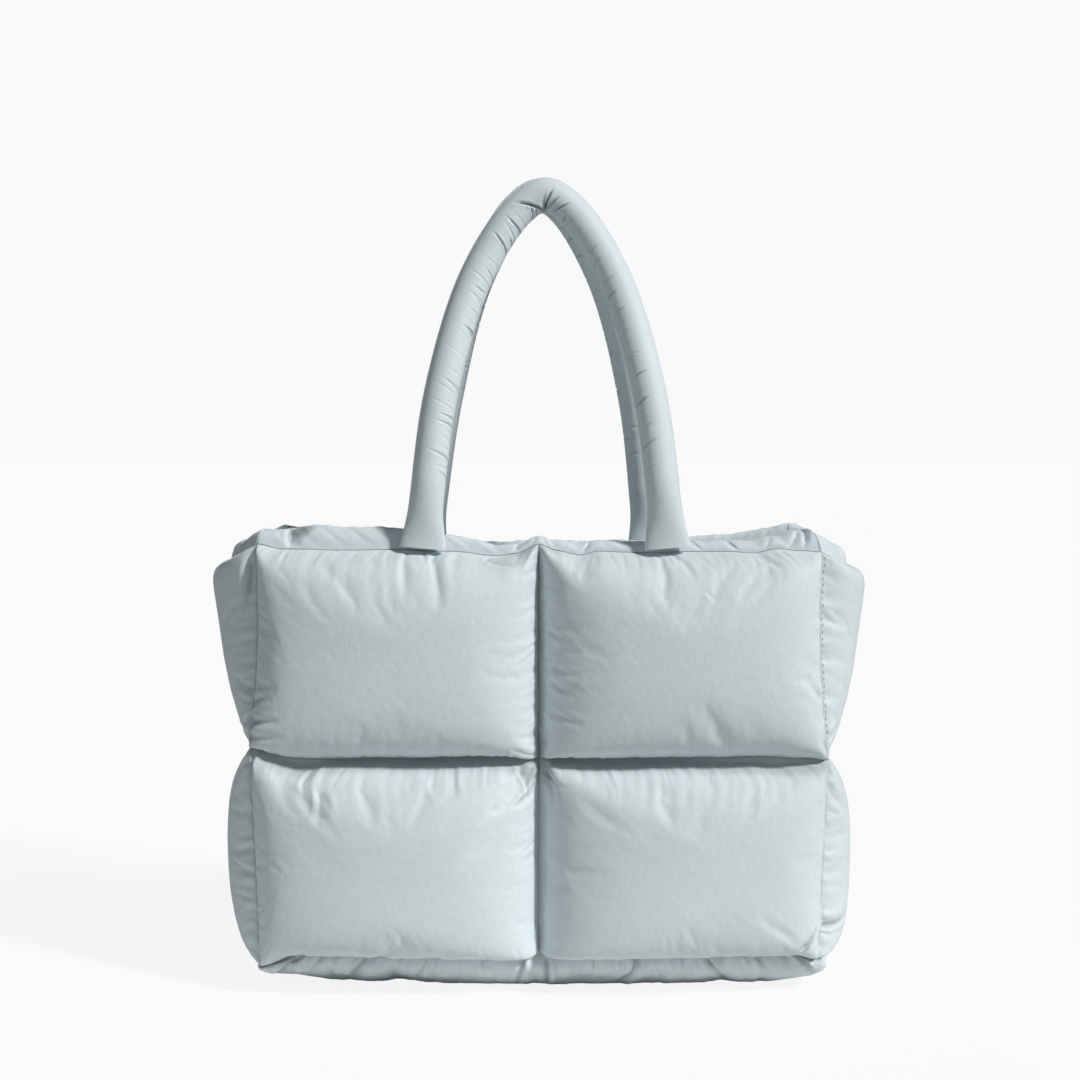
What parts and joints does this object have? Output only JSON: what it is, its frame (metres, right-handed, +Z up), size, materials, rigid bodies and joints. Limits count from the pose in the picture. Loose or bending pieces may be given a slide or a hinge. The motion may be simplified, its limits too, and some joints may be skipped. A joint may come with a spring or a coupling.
{
  "type": "padded shoulder bag",
  "caption": "Open tote of pale blue nylon quilted into large puffy pads, with a cloth facing round its mouth and two stuffed tube handles that lean together above it.",
  "frame": {"origin": "on the floor under the middle of the bag, at the centre of the flat stretch of its base pad", "axes": "+Z up; the front faces -Y and +X is to its right as seen from the front"},
  "size_m": [0.4328, 0.1634, 0.534],
  "materials": {
    "pad_fabric": "matte fine-woven nylon, stuffed and crumpled along its seams",
    "facing_fabric": "the same nylon, unpadded and folded over the rim",
    "handle_fabric": "the same nylon over a stuffed tube, crimped along its inner side"
  },
  "bodies": {
    "root": {"front_pad_upper_left": "pad_fabric", "front_pad_upper_right": "pad_fabric", "front_pad_lower_left": "pad_fabric", "front_pad_lower_right": "pad_fabric", "back_pad_upper_left": "pad_fabric", "back_pad_upper_right": "pad_fabric", "back_pad_lower_left": "pad_fabric", "back_pad_lower_right": "pad_fabric", "left_side_pad_upper": "pad_fabric", "left_side_pad_lower": "pad_fabric", "right_side_pad_upper": "pad_fabric", "right_side_pad_lower": "pad_fabric", "base_pad": "pad_fabric", "facing_front": "facing_fabric", "facing_back": "facing_fabric", "facing_left": "facing_fabric", "facing_right": "facing_fabric", "handle_front": "handle_fabric", "handle_back": "handle_fabric"}
  },
  "joints": []
}
